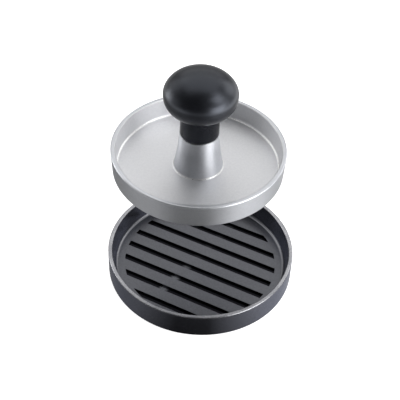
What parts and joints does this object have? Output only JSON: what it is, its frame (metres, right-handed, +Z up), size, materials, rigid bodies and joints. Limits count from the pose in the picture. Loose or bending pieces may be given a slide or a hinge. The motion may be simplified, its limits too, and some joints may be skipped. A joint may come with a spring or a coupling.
{
  "type": "patty press",
  "caption": "Round grooved dish with a loose cast press plate and ball-knob handle; the plate slides down into the dish to shape a meat patty.",
  "frame": {"origin": "centre of the dish's underside, on the surface the press stands on", "axes": "+Z up along the dish's axis; -Y towards the front; the dish's grooves run 25.8 degrees clockwise from +X seen from above"},
  "size_m": [0.12, 0.12, 0.1556],
  "materials": {
    "non_stick_coating": "dark grey non-stick coating on cast aluminium, satin",
    "cast_aluminium": "satin, fine blasted and turned",
    "collar_plastic": "matt black, smooth",
    "knob_plastic": "satin black, smooth",
    "insert_brass": "machined",
    "fastener_steel": "bright zinc"
  },
  "bodies": {
    "base": {"base_dish": "non_stick_coating"},
    "press": {"press_plate": "cast_aluminium", "neck_collar": "collar_plastic", "knob": "knob_plastic", "threaded_insert": "insert_brass", "handle_screw": "fastener_steel", "flat_washer": "fastener_steel", "lock_washer": "fastener_steel"}
  },
  "joints": [
    {"name": "press_lift", "type": "slide", "parent": "base", "child": "press", "axis": [-0.044, 0, 0.999], "range_m": [-0.08318, 0.04]}
  ]
}
